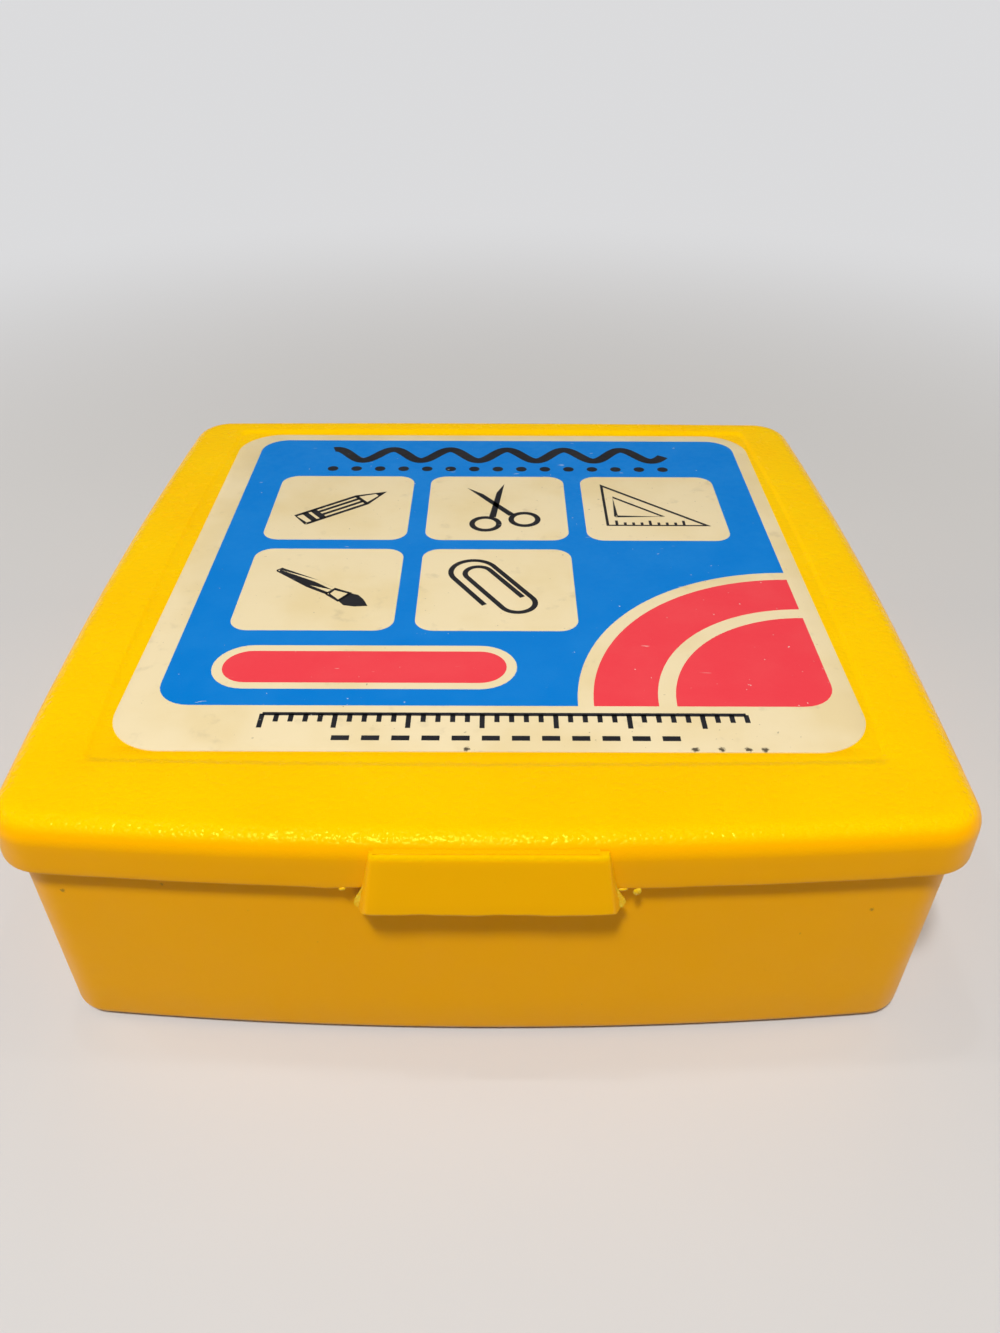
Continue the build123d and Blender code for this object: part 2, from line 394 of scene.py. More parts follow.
class Nodes:
    """Node tree of one material, filled one node at a time.

    The Mix node has several sockets of each name, so its colour sockets are told by number.
    """

    MIX_FIRST = 6
    MIX_SECOND = 7
    MIX_RESULT = 2

    def __init__(self, name: str) -> None:
        """Starts a material with a Principled shader."""
        self.material = bpy.data.materials.new(name)
        self.material.use_nodes = True
        self.tree = self.material.node_tree
        self.shader = self.tree.nodes["Principled BSDF"]
        self.place = self.add("ShaderNodeTexCoord").outputs["Object"]

    def add(self, kind: str, **settings: object) -> bpy.types.Node:
        """Adds a node, by Blender's name for its kind, with its own values."""
        node = self.tree.nodes.new(kind)
        for key, value in settings.items():
            setattr(node, key, value)
        return node

    def link(self, source: Socket, target: Socket) -> None:
        """Joins two sockets."""
        self.tree.links.new(source, target)

    def feed(self, socket: Socket, value: object) -> None:
        """Links a socket to another, or sets its own value."""
        if isinstance(value, Socket):
            self.link(value, socket)
        else:
            socket.default_value = value

    def math(self, operation: str, *values: object) -> Socket:
        """One Math node on numbers or sockets, not clamped."""
        node = self.add("ShaderNodeMath", operation=operation)
        for index, value in enumerate(values):
            self.feed(node.inputs[index], value)
        return node.outputs[0]

    def stretch(self, scale: Place) -> Socket:
        """Object coordinates stretched along the axes."""
        node = self.add("ShaderNodeMapping")
        self.link(self.place, node.inputs["Vector"])
        node.inputs["Scale"].default_value = scale
        return node.outputs[0]

    def noise(self, size: float, detail: float = 2.0, place: Socket | None = None) -> Socket:
        """Noise whose patches are about one size, in millimetres."""
        node = self.add("ShaderNodeTexNoise")
        self.link(place or self.place, node.inputs["Vector"])
        node.inputs["Scale"].default_value = 1 / (size * MM)
        node.inputs["Detail"].default_value = detail
        return node.outputs["Fac"]

    def cells(self, size: float) -> Socket:
        """Soft cell pattern whose cells are about one size, in millimetres."""
        node = self.add("ShaderNodeTexVoronoi", feature="SMOOTH_F1")
        self.link(self.place, node.inputs["Vector"])
        node.inputs["Scale"].default_value = 1 / (size * MM)
        node.inputs["Smoothness"].default_value = 0.6
        return node.outputs["Distance"]

    def span(self, source: Socket, low: float, high: float, start: float, end: float) -> Socket:
        """Value eased from one range into another."""
        node = self.add("ShaderNodeMapRange", interpolation_type="SMOOTHSTEP")
        self.link(source, node.inputs["Value"])
        ends = {"From Min": low, "From Max": high, "To Min": start, "To Max": end}
        for key, value in ends.items():
            node.inputs[key].default_value = value
        return node.outputs["Result"]

    def ramp(self, source: Socket, low: float, high: float, start: float, end: float) -> Socket:
        """Value eased over a length, whose two ends are in millimetres."""
        return self.span(source, low * MM, high * MM, start, end)

    def blend(self, share: object, first: object, second: object) -> Socket:
        """Colour blended between two others."""
        node = self.add("ShaderNodeMix", data_type="RGBA")
        self.feed(node.inputs["Factor"], share)
        self.feed(node.inputs[self.MIX_FIRST], first)
        self.feed(node.inputs[self.MIX_SECOND], second)
        return node.outputs[self.MIX_RESULT]

    def axis(self, name: str) -> Socket:
        """One axis of the object coordinates."""
        node = self.add("ShaderNodeSeparateXYZ")
        self.link(self.place, node.inputs[0])
        return node.outputs[name]

    def mark(self, centre: Place, size: float, grain: float) -> Socket:
        """Mask of one ragged smudge round a point, both sizes in millimetres."""
        node = self.add("ShaderNodeVectorMath", operation="DISTANCE")
        self.link(self.place, node.inputs[0])
        node.inputs[1].default_value = [value * MM for value in centre]
        ragged = self.math("MULTIPLY_ADD", self.noise(grain, 3.0), size * MM, node.outputs["Value"])
        return self.span(ragged, size * MM * 0.75, size * MM * 1.15, 1.0, 0.0)

    def bump(self, height: object, depth: float) -> None:
        """Sends a height to the shader's normal, its depth in millimetres."""
        node = self.add("ShaderNodeBump")
        self.feed(node.inputs["Height"], height)
        node.inputs["Distance"].default_value = depth * MM
        node.inputs["Strength"].default_value = 1.0
        self.link(node.outputs["Normal"], self.shader.inputs["Normal"])

    def set(self, **values: object) -> None:
        """Sets or links the shader's sockets, with _ for the spaces in their names."""
        for key, value in values.items():
            self.feed(self.shader.inputs[key.replace("_", " ")], value)


@dataclass(frozen=True)
class MouldedPlastic:
    """Yellow polypropylene: a pebble grain above one height and a smooth moulded face below.

    Heights and places are in millimetres. flat_share is what is left of the pebbles' height on the
    flat top. Below the grain the plastic's own pale tone turns to a darker, more orange tone, which
    is painted shade on the skirt, the tray and the tab, and crease is where the pale tone ends
    again
    above the grain: painted shade on the tab's ledge, above the pale band that is the tab's painted
    highlight. The plastic just in front of the label's front edge is darkened as painted shade.
    """

    name: str
    light: Colour = (1.0, 0.60, 0.0, 1.0)
    # Darker, more orange copy of the plastic's own colour, used as painted shade on the skirt, tray
    # and tab.
    painted_shade_tone: Colour = (1.0, 0.452, 0.0, 1.0)
    dirt: Colour = (0.30, 0.16, 0.02, 1.0)
    grain_from: float = 38.1
    grain_to: float = 39.3
    pebble: float = 0.72
    pebble_depth: float = 0.15
    flat_share: float = 0.45
    flat_heights: Point = (39.4, 39.58)
    flat_sides: Point = (54.5, 56.5)
    flat_front: Point = (-53.5, -51.5)
    # Heights above which the colour goes back to the darker tone, as painted shade in a crease.
    crease: Point | None = None
    skin: float = 0.25
    ripple: float = 9.0
    patch: float = 22.0
    speck: float = 0.9
    rub: float = 5.0
    sheen: Point = (0.30, 0.42)
    grain_sheen: float = -0.10
    marks: tuple[Place, ...] = ()
    mark_size: float = 0.7
    # Painted shade just in front of the label's front edge: that edge's y and the label's half
    # width, how far the shade reaches either side of the edge, how it fades towards the sides, and
    # its colour.
    painted_label_shade: Point | None = None
    painted_label_shade_reach: Point = (-1.2, 0.3)
    painted_label_shade_fade: float = 6.0
    painted_label_shade_colour: Colour = (0.86, 0.42, 0.0, 1.0)

    def build(self) -> Material:
        """Makes the material."""
        nodes = Nodes(self.name)
        # up is 1 on the grained top and 0 below: it places the pebbles and also sets where the
        # painted shade tone takes over.
        up = nodes.ramp(nodes.axis("Z"), self.grain_from, self.grain_to, 0.0, 1.0)
        nodes.bump(self.relief(nodes, up), self.pebble_depth)
        rough = nodes.span(nodes.noise(self.rub, 4.0), 0.3, 0.75, *self.sheen)
        rough = nodes.math("MULTIPLY_ADD", up, self.grain_sheen, rough)
        nodes.set(Base_Color=self.colour(nodes, up), Roughness=rough)
        nodes.set(IOR=1.49, Specular_IOR_Level=0.22, Specular_Tint=(1.0, 0.80, 0.08, 1.0))
        nodes.set(Subsurface_Weight=0.12, Subsurface_Scale=0.0015)
        nodes.set(Subsurface_Radius=(1.0, 0.55, 0.08))
        return nodes.material

    def relief(self, nodes: Nodes, up: Socket) -> Socket:
        """Height of the surface: pebbles where up is 1, a fine skin and slow ripples everywhere.

        Args:
            nodes: Tree that the nodes are added to.
            up: 1 on the grained part, 0 on the smooth part.

        Returns:
            The height, in units of the pebbles' depth.
        """
        top = nodes.ramp(nodes.axis("Z"), *self.flat_heights, 1.0, self.flat_share)
        across = nodes.math("ABSOLUTE", nodes.axis("X"))
        inner_x = nodes.ramp(across, *self.flat_sides, self.flat_share, 1.0)
        inner_y = nodes.ramp(nodes.axis("Y"), *self.flat_front, 1.0, self.flat_share)
        flat = nodes.math("MINIMUM", top, nodes.math("MAXIMUM", inner_x, inner_y))
        cells = nodes.cells(self.pebble)
        grit = nodes.math("MULTIPLY", nodes.noise(self.pebble * 0.5, 0.0), 0.3)
        domes = nodes.math("SUBTRACT", grit, nodes.math("MULTIPLY", cells, cells))
        pebbles = nodes.math("MULTIPLY", domes, flat)
        skin = nodes.math("MULTIPLY", nodes.noise(self.skin, 2.0), 0.06)
        grained = nodes.math("MULTIPLY_ADD", pebbles, up, skin)
        return nodes.math("MULTIPLY_ADD", nodes.noise(self.ripple, 1.0), 0.4, grained)

    def colour(self, nodes: Nodes, up: Socket) -> Socket:
        """Own tone on the grain, painted shade tone below, specks, marks, painted shade by the
        label.

        Args:
            nodes: Tree that the nodes are added to.
            up: 1 on the grained part, 0 on the smooth part.

        Returns:
            The base colour.
        """
        # tone is 1 for the plastic's own pale colour and 0 for the darker painted shade tone;
        # random patches lean the grain towards the darker tone.
        patches = nodes.span(nodes.noise(self.patch, 3.0), 0.3, 0.7, 0.0, 0.25)
        tone = nodes.math("SUBTRACT", up, nodes.math("MULTIPLY", patches, up))
        # Painted shade in the crease: above these heights the colour goes back to the darker tone.
        if self.crease:
            below = nodes.ramp(nodes.axis("Z"), *self.crease, 1.0, 0.0)
            tone = nodes.math("MULTIPLY", tone, below)
        colour = nodes.blend(tone, self.painted_shade_tone, self.light)
        specks = nodes.span(nodes.noise(self.speck, 2.0), 0.77, 0.82, 0.0, 0.3)
        colour = nodes.blend(specks, colour, self.dirt)
        for centre in self.marks:
            mark = nodes.math("MULTIPLY", nodes.mark(centre, self.mark_size, 0.3), 0.7)
            colour = nodes.blend(mark, colour, self.dirt)
        # Painted shade: a strip of plastic at the label's front edge is darkened, fading out
        # towards the label's sides.
        if self.painted_label_shade:
            edge_y, half = self.painted_label_shade
            start, end = (edge_y + reach for reach in self.painted_label_shade_reach)
            ahead = nodes.ramp(nodes.axis("Y"), start, end, 0.0, 0.5)
            across = nodes.math("ABSOLUTE", nodes.axis("X"))
            aside = nodes.ramp(across, half - self.painted_label_shade_fade, half, 1.0, 0.0)
            behind = nodes.math("LESS_THAN", nodes.axis("Y"), (edge_y + 1.0) * MM)
            share = nodes.math("MULTIPLY", nodes.math("MULTIPLY", ahead, aside), behind)
            colour = nodes.blend(share, colour, self.painted_label_shade_colour)
        return colour


@dataclass(frozen=True)
class ThinFlash:
    """Paler, translucent plastic of the thin flash left at a parting line."""

    name: str = "mould_flash"
    tint: Colour = (0.98, 0.53, 0.0, 1.0)
    frost: Colour = (1.0, 0.66, 0.03, 1.0)

    def build(self) -> Material:
        """Makes the material."""
        nodes = Nodes(self.name)
        patches = nodes.span(nodes.noise(0.5, 3.0), 0.35, 0.65, 0.0, 1.0)
        nodes.set(Base_Color=nodes.blend(patches, self.tint, self.frost))
        nodes.set(Roughness=nodes.span(nodes.noise(0.3, 2.0), 0.3, 0.7, 0.18, 0.45))
        nodes.set(Specular_Tint=(1.0, 0.85, 0.35, 1.0))
        nodes.set(Subsurface_Weight=0.3, Subsurface_Scale=0.001, Subsurface_Radius=(1.0, 0.6, 0.1))
        nodes.bump(nodes.noise(0.18, 2.0), 0.04)
        return nodes.material


@dataclass(frozen=True)
class LabelPaper:
    """Aged cream label stock with faint yellowing, fine specks and dark scuffs at one edge."""

    name: str = "label_paper"
    fresh: Colour = (0.84, 0.71, 0.45, 1.0)
    aged: Colour = (0.78, 0.63, 0.34, 1.0)
    soot: Colour = (0.10, 0.08, 0.05, 1.0)
    scuffs: tuple[Place, ...] = ()

    def build(self) -> Material:
        """Makes the material."""
        nodes = Nodes(self.name)
        ageing = nodes.span(nodes.noise(14.0, 4.0), 0.40, 0.72, 0.0, 0.75)
        colour = nodes.blend(ageing, self.fresh, self.aged)
        smudge = nodes.span(nodes.noise(3.2, 5.0), 0.60, 0.78, 0.0, 0.16)
        colour = nodes.blend(smudge, colour, self.soot)
        specks = nodes.span(nodes.noise(0.7, 2.0), 0.73, 0.78, 0.0, 0.5)
        colour = nodes.blend(specks, colour, self.soot)
        for centre in self.scuffs:
            colour = nodes.blend(nodes.mark(centre, 0.9, 0.35), colour, self.soot)
        nodes.set(Base_Color=colour)
        nodes.set(Roughness=nodes.span(nodes.noise(2.0, 3.0), 0.3, 0.7, 0.36, 0.52))
        nodes.set(Specular_IOR_Level=0.4)
        fibre = nodes.math("ADD", nodes.noise(0.22, 2.0), nodes.noise(6.0, 1.0))
        nodes.bump(fibre, 0.012)
        return nodes.material


@dataclass(frozen=True)
class PrintInk:
    """Flat screen-printed ink with a faint mesh texture, rubbed through to the stock in places."""

    name: str
    ink: Colour
    worn: Colour
    bare: Colour = (0.84, 0.82, 0.74, 1.0)
    wear: float = 0.75
    screen: float = 0.35

    def build(self) -> Material:
        """Makes the material."""
        nodes = Nodes(self.name)
        patches = nodes.span(nodes.noise(8.0, 3.0), 0.35, 0.7, 0.0, 0.22)
        colour = nodes.blend(patches, self.ink, self.worn)
        chips = nodes.span(nodes.noise(0.8, 3.0), 0.735, 0.765, 0.0, self.wear)
        scratch = nodes.noise(0.6, 2.0, nodes.stretch((0.16, 1.0, 1.0)))
        lines = nodes.span(scratch, 0.76, 0.79, 0.0, self.wear * 0.6)
        colour = nodes.blend(nodes.math("MAXIMUM", chips, lines), colour, self.bare)
        nodes.set(Base_Color=colour)
        nodes.set(Roughness=nodes.span(nodes.noise(1.6, 3.0), 0.3, 0.7, 0.30, 0.46))
        nodes.set(Specular_IOR_Level=0.25)
        nodes.bump(nodes.cells(self.screen), 0.006)
        return nodes.material


@dataclass
class Lid:
    """Skirted lid with a shallow panel for the label and a land for the hinge."""

    side_bow: float = 1.9
    front_bow: float = 3.0
    back_bow: float = 0.6
    corner_radius: float = 7.0
    skirt_wall: float = 1.2
    top_wall: float = 1.4
    top_edge: float = 3.2
    skirt_edge: float = 0.35
    ceiling_edge: float = 0.6
    panel_side: float = 9.7
    panel_front: float = 14.5
    panel_back: float = 6.5
    panel_front_bow: float = 0.8
    panel_depth: float = 0.4
    panel_radius: float = 1.5
    panel_ramp: float = 0.85
    side_ramp_share: float = 0.55
    land_height: float = 1.2
    land_half: float = 42.0
    notch_half: float = 13.53
    dips: tuple[Place, ...] = ((-19.4, 2.0, 0.24), (22.0, 3.0, 0.12))
    dip_fade: Point = (6.0, 1.6)
    edge_wave: float = 0.05

    def __post_init__(self) -> None:
        """Reads the lid's own box."""
        self.low, self.high = box_mm("lid")
        self.outline = BowedSquare(
            self.high.x,
            -self.high.x,
            self.high.x,
            self.side_bow,
            self.front_bow,
            self.back_bow,
            self.corner_radius,
        )

    @property
    def ceiling(self) -> float:
        """Height of the lid's inner face."""
        return self.high.z - self.top_wall

    def panel(self, more: float) -> BowedSquare:
        """Outline of the sunk panel, set in by a little more."""
        inner = self.outline.inset(
            self.panel_side + more * self.side_ramp_share,
            self.panel_front + more,
            self.panel_back + more,
            self.panel_radius,
        )
        return replace(inner, front_bow=self.panel_front_bow)

    def profile(self) -> list[Ring]:
        """Rings from the panel's floor over the edge, round the skirt and up to the ceiling."""
        rings: list[Ring] = []
        for share in steps(6):
            eased = share * share * (3 - 2 * share)
            z = self.high.z - self.panel_depth * (1 - eased)
            rings.append(self.panel(self.panel_ramp * (1 - 2 * share)).ring(z))
        rings.append(self.outline.shrink(self.top_edge + 0.4).ring(self.high.z))
        for turn in steps(10, 0, math.pi / 2):
            inset = self.top_edge * (1 - math.sin(turn))
            z = self.high.z - self.top_edge * (1 - math.cos(turn))
            rings.append(self.outline.shrink(inset).ring(z))
        low_wall = self.low.z + self.skirt_edge
        for z in steps(4, self.high.z - self.top_edge, low_wall)[1:]:
            rings.append(self.outline.ring(z))
        for turn in steps(4, 0, math.pi / 2)[1:]:
            inset = self.skirt_edge * (1 - math.cos(turn))
            rings.append(
                self.outline.shrink(inset).ring(low_wall - self.skirt_edge * math.sin(turn))
            )
        for turn in steps(4, 0, math.pi / 2):
            inset = self.skirt_wall - self.skirt_edge * (1 - math.sin(turn))
            z = self.low.z + self.skirt_edge * (1 - math.cos(turn))
            rings.append(self.outline.shrink(inset).ring(z))
        for turn in steps(5, 0, math.pi / 2):
            inset = self.skirt_wall + self.ceiling_edge * (1 - math.cos(turn))
            z = self.ceiling - self.ceiling_edge * (1 - math.sin(turn))
            rings.append(self.outline.shrink(inset).ring(z))
        for drop in (0.0, self.panel_depth):
            rings.append(self.panel(-self.panel_depth + drop * 0.5).ring(self.ceiling - drop))
        return rings

    def rounding(self, z: float) -> float:
        """How far the top edge's rounding lies behind the skirt's face at a height."""
        rise = min(max(z - (self.high.z - self.top_edge), 0.0), self.top_edge)
        return self.top_edge - math.sqrt(self.top_edge**2 - rise**2)

    def settle(self, place: Vector) -> Vector:
        """Slight dips of the skirt's lower edge beside the tab, each with place, width, depth."""
        fade_y, fade_z = self.dip_fade
        near_edge = bump_at(place.z, self.low.z, fade_z)
        near_edge *= bump_at(place.y, self.outline.front_y, fade_y)
        dip = sum(depth * bump_at(place.x, x, width) for x, width, depth in self.dips)
        dip += self.edge_wave * math.sin(place.x * 0.31) * math.sin(place.x * 0.13 + 1.0)
        return Vector((place.x, place.y, place.z - dip * near_edge))

    def build(self, material: Material) -> None:
        """Models the lid in place of its frame node."""
        lid = RingStack.shell("lid_shell", self.profile())
        Bench.shift(lid, self.settle)
        Bench.smooth(lid)
        skirt_middle = self.outline.back_y - self.skirt_wall / 2 - self.back_bow / 2
        Bench.add_land(
            lid,
            "lid_land",
            Vector((-self.land_half, skirt_middle, self.low.z)),
            Vector((self.land_half, self.high.y, self.low.z + self.land_height)),
        )
        notch_back = self.outline.front_y + self.skirt_wall + self.ceiling_edge
        notch = Bench.block(
            "notch",
            Vector((-self.notch_half, self.outline.front_y - 1, self.low.z - 1)),
            Vector((self.notch_half, notch_back, self.ceiling)),
        )
        Bench.combine(lid, notch, "DIFFERENCE")
        Bench.smooth(lid)
        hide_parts("lid")
        Bench.finish(lid, Body.LID, Slot.LID, material)


@dataclass
class Tray:
    """Open drafted tray with a land for the hinge and a catch bead at the front."""

    lid: Lid
    bow_ease: float = 0.25
    wall: float = 1.4
    floor: float = 1.5
    corner_radius: float = 5.8
    draft: float = math.radians(1.5)
    foot: float = 1.8
    inner_foot: float = 1.2
    rim_edge: float = 0.4
    hinge_gap: float = 0.6
    land_height: float = 1.2
    catch_half: float = 12.0
    catch_bottom: float = 30.8
    catch_height: float = 1.8
    catch_nose: float = 0.6
    catch_proud: float = 1.2

    def __post_init__(self) -> None:
        """Reads the tray's own box and takes its bow from the lid."""
        self.low, self.high = box_mm("base_tray")
        inset = self.lid.high.x - self.high.x
        self.top = replace(
            self.lid.outline.inset(inset, inset, inset, self.corner_radius),
            side_bow=self.lid.side_bow - self.bow_ease,
        )

    def face(self, z: float, extra: float) -> BowedSquare:
        """Outline at a height, with the draft and an inset from the outer face."""
        amount = (self.high.z - z) * math.tan(self.draft) + extra
        return self.top.inset(amount, amount, amount, max(self.corner_radius - extra, 0.3))

    def profile(self) -> list[Ring]:
        """Rings from the underside up the outside, over the rim and down to the floor."""
        rings: list[Ring] = []
        for turn in steps(6, 0, math.pi / 2):
            z = self.low.z + self.foot * (1 - math.cos(turn))
            rings.append(self.face(z, self.foot * (1 - math.sin(turn))).ring(z))
        rim_low = self.high.z - self.rim_edge
        for z in steps(6, self.low.z + self.foot, rim_low)[1:]:
            rings.append(self.face(z, 0).ring(z))
        for turn in steps(4, 0, math.pi / 2)[1:]:
            z = rim_low + self.rim_edge * math.sin(turn)
            rings.append(self.face(z, self.rim_edge * (1 - math.cos(turn))).ring(z))
        for turn in steps(4, 0, math.pi / 2):
            z = self.high.z - self.rim_edge * (1 - math.cos(turn))
            rings.append(self.face(z, self.wall - self.rim_edge * (1 - math.sin(turn))).ring(z))
        floor_top = self.floor + self.inner_foot
        for z in steps(3, rim_low, floor_top)[1:]:
            rings.append(self.face(z, self.wall).ring(z))
        for turn in steps(5, 0, math.pi / 2)[1:]:
            z = floor_top - self.inner_foot * math.sin(turn)
            rings.append(self.face(z, self.wall + self.inner_foot * (1 - math.cos(turn))).ring(z))
        return rings

    def catch(self) -> Piece:
        """Catch bead under the rim, square below and sloped above."""
        wall_y = self.face(self.catch_bottom, 0).front_y
        low = Vector((-self.catch_half, wall_y - self.catch_proud, self.catch_bottom))
        top = self.catch_bottom + self.catch_height
        high = Vector((self.catch_half, wall_y + self.wall / 2, top))
        bead = Bench.block("catch", low, high)
        nose_top = self.catch_bottom + self.catch_nose
        slope = Bench.block(
            "slope",
            Vector((low.x - 1, low.y - 2, nose_top)),
            Vector((high.x + 1, low.y, nose_top + 4)),
        )
        lean = math.atan2(self.catch_proud, self.catch_height - self.catch_nose)
        Bench.take(slope)
        pivot = Vector((0, low.y, nose_top)) * MM
        slope.data.transform(
            Matrix.Translation(pivot) @ Matrix.Rotation(-lean, 4, "X") @ Matrix.Translation(-pivot)
        )
        Bench.combine(bead, slope, "DIFFERENCE")
        Bench.modify(bead, "BEVEL", width=0.1 * MM, segments=2)
        return bead

    def build(self, material: Material) -> None:
        """Models the tray in place of its frame node."""
        tray = RingStack.shell("tray_shell", self.profile())
        Bench.smooth(tray)
        land_top = self.lid.low.z - self.hinge_gap
        land_root = self.face(land_top, self.wall / 2).back_y
        Bench.add_land(
            tray,
            "tray_land",
            Vector((-self.lid.land_half, land_root, land_top - self.land_height)),
            Vector((self.lid.land_half, self.high.y, land_top)),
        )
        Bench.combine(tray, self.catch(), "UNION")
        Bench.smooth(tray)
        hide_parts("base_tray")
        Bench.finish(tray, Body.TRAY, Slot.TRAY, material)


@dataclass
class Tab:
    """Flared finger tab on the skirt, with its root, its stem and its hook."""

    lid: Lid
    top_half: float = 14.3
    top_proud: float = 0.5
    foot_proud: float = 1.75
    edge: float = 0.45
    crown_reach: float = 1.9
    crown_top: float = 0.26
    crown_top_reach: float = 1.25
    crown_side: float = 0.24
    crown_foot: float = 0.06
    offset: float = 0.35
    seat: float = 0.65
    foot_waves: tuple[Place, ...] = ((0.09, 0.55, 0.0), (0.05, 1.3, 0.7))
    foot_drop: float = 0.10
    overlap: float = 0.2
    stem_half: float = 13.5
    stem_depth: float = 0.3
    stem_foot: float = 0.3
    root_height: float = 1.6
    hook_half: float = 12.0
    hook_foot: float = 0.25
    hook_height: float = 1.5
    hook_chamfer: float = 0.55
    top_draft: float = 0.2
    bottom_draft: float = 0.8

    def __post_init__(self) -> None:
        """Reads the tab's own box."""
        self.low, self.high = box_mm("latch_tab")
        self.back_y = self.lid.outline.front_y

    def half_at(self, z: float) -> float:
        """Half of the flared plate's width at a height."""
        share = (self.high.z - z) / (self.high.z - self.low.z)
        return self.top_half + (self.high.x - self.top_half) * share

    def flare(self, place: Vector) -> Vector:
        """Draws a block's vertices to the flared, leaning plate with its uneven foot.

        Args:
            place: A vertex of the block, in millimetres.

        Returns:
            Its place on the plate, where each foot wave adds its height, pace and phase.
        """
        ahead = (self.back_y - place.y) / self.foot_proud
        share = (self.high.z - place.z) / (self.high.z - self.low.z)
        draft = (self.top_draft + (self.bottom_draft - self.top_draft) * share) * ahead
        wide = place.x / self.high.x
        uneven = sum(
            rise * math.sin(place.x * pace + phase) for rise, pace, phase in self.foot_waves
        )
        lift = (uneven - self.foot_drop) * share**8
        depth = self.top_proud + (self.foot_proud - self.top_proud) * share
        depth -= self.crown_top * self.near(self.high.z - place.z, self.crown_top_reach)
        depth -= self.crown_foot * self.near(place.z - self.low.z, self.crown_reach)
        recede = (1 - ahead) * self.lid.rounding(place.z) * self.seat
        edge_gap = self.high.x - abs(place.x)
        depth -= self.crown_side * self.near(edge_gap, self.crown_reach) * (0.5 + share / 2)
        x = wide * (self.half_at(place.z) - draft) + self.offset
        return Vector((x, self.back_y + recede - ahead * depth, place.z + lift))

    @staticmethod
    def near(distance: float, reach: float) -> float:
        """1 at an edge, easing to 0 where the face turns flat."""
        return max(0.0, 1 - distance / reach) ** 2

    def plate(self) -> Piece:
        """Front plate: a block that is sliced, bevelled at the front and flared."""
        low = Vector((-self.high.x, self.back_y - self.foot_proud, self.low.z))
        high = Vector((self.high.x, self.back_y, self.high.z))
        plate = Bench.block("latch_tab_plate", low, high)
        bpy.ops.object.mode_set(mode="EDIT")
        near_edge = steps(4, self.edge + 0.1, self.crown_reach)
        for normal, count in ((Vector((1, 0, 0)), 26), (Vector((0, 0, 1)), 5)):
            start, end = low.dot(normal), high.dot(normal)
            cuts = steps(count, start + self.crown_reach, end - self.crown_reach)[1:-1]
            cuts += [start + inset for inset in near_edge] + [end - inset for inset in near_edge]
            for cut in cuts:
                bpy.ops.mesh.select_all(action="SELECT")
                bpy.ops.mesh.bisect(plane_co=normal * (cut * MM), plane_no=normal)

        def front_rim(edge: Edge) -> bool:
            """True for the edges round the block's front face."""
            at_front = all(abs(end.y - low.y) < NEAR for end in Bench.ends(edge))
            return at_front and len({face.normal.to_tuple(1) for face in edge.link_faces}) > 1

        Bench.round_edges(plate, front_rim, self.edge, 5)
        Bench.shift(plate, self.flare)
        return plate

    def hook(self) -> Piece:
        """Hook at the foot, chamfered below, that reaches under the catch bead."""
        low = Vector((-self.hook_half, self.back_y - self.overlap, self.low.z + self.hook_foot))
        high = Vector((self.hook_half, self.high.y, self.low.z + self.hook_height))
        hook = Bench.block("hook", low, high)
        bpy.ops.object.mode_set(mode="EDIT")

        def lower_tip(edge: Edge) -> bool:
            """True for the lower edge of the hook's tip."""
            return all(
                abs(end.y - high.y) < NEAR and abs(end.z - low.z) < NEAR
                for end in Bench.ends(edge)
            )

        Bench.round_edges(hook, lower_tip, self.hook_chamfer, 3)
        return hook

    def build(self, material: Material) -> None:
        """Models the tab in place of its frame node."""
        tab = self.plate()
        front_y = self.back_y - self.overlap
        stem = Bench.block(
            "stem",
            Vector((-self.stem_half, front_y, self.low.z + self.stem_foot)),
            Vector((self.stem_half, self.back_y + self.stem_depth, self.high.z)),
        )
        root = Bench.block(
            "root",
            Vector((-self.stem_half, front_y, self.high.z - self.root_height)),
            Vector((self.stem_half, self.back_y + self.lid.skirt_wall, self.high.z)),
        )
        for solid in (stem, root, self.hook()):
            Bench.combine(tab, solid, "UNION")
        tab.name = "latch_tab_shell"
        Bench.smooth(tab)
        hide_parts("latch_tab")
        Bench.finish(tab, Body.TAB, Slot.LID, material)


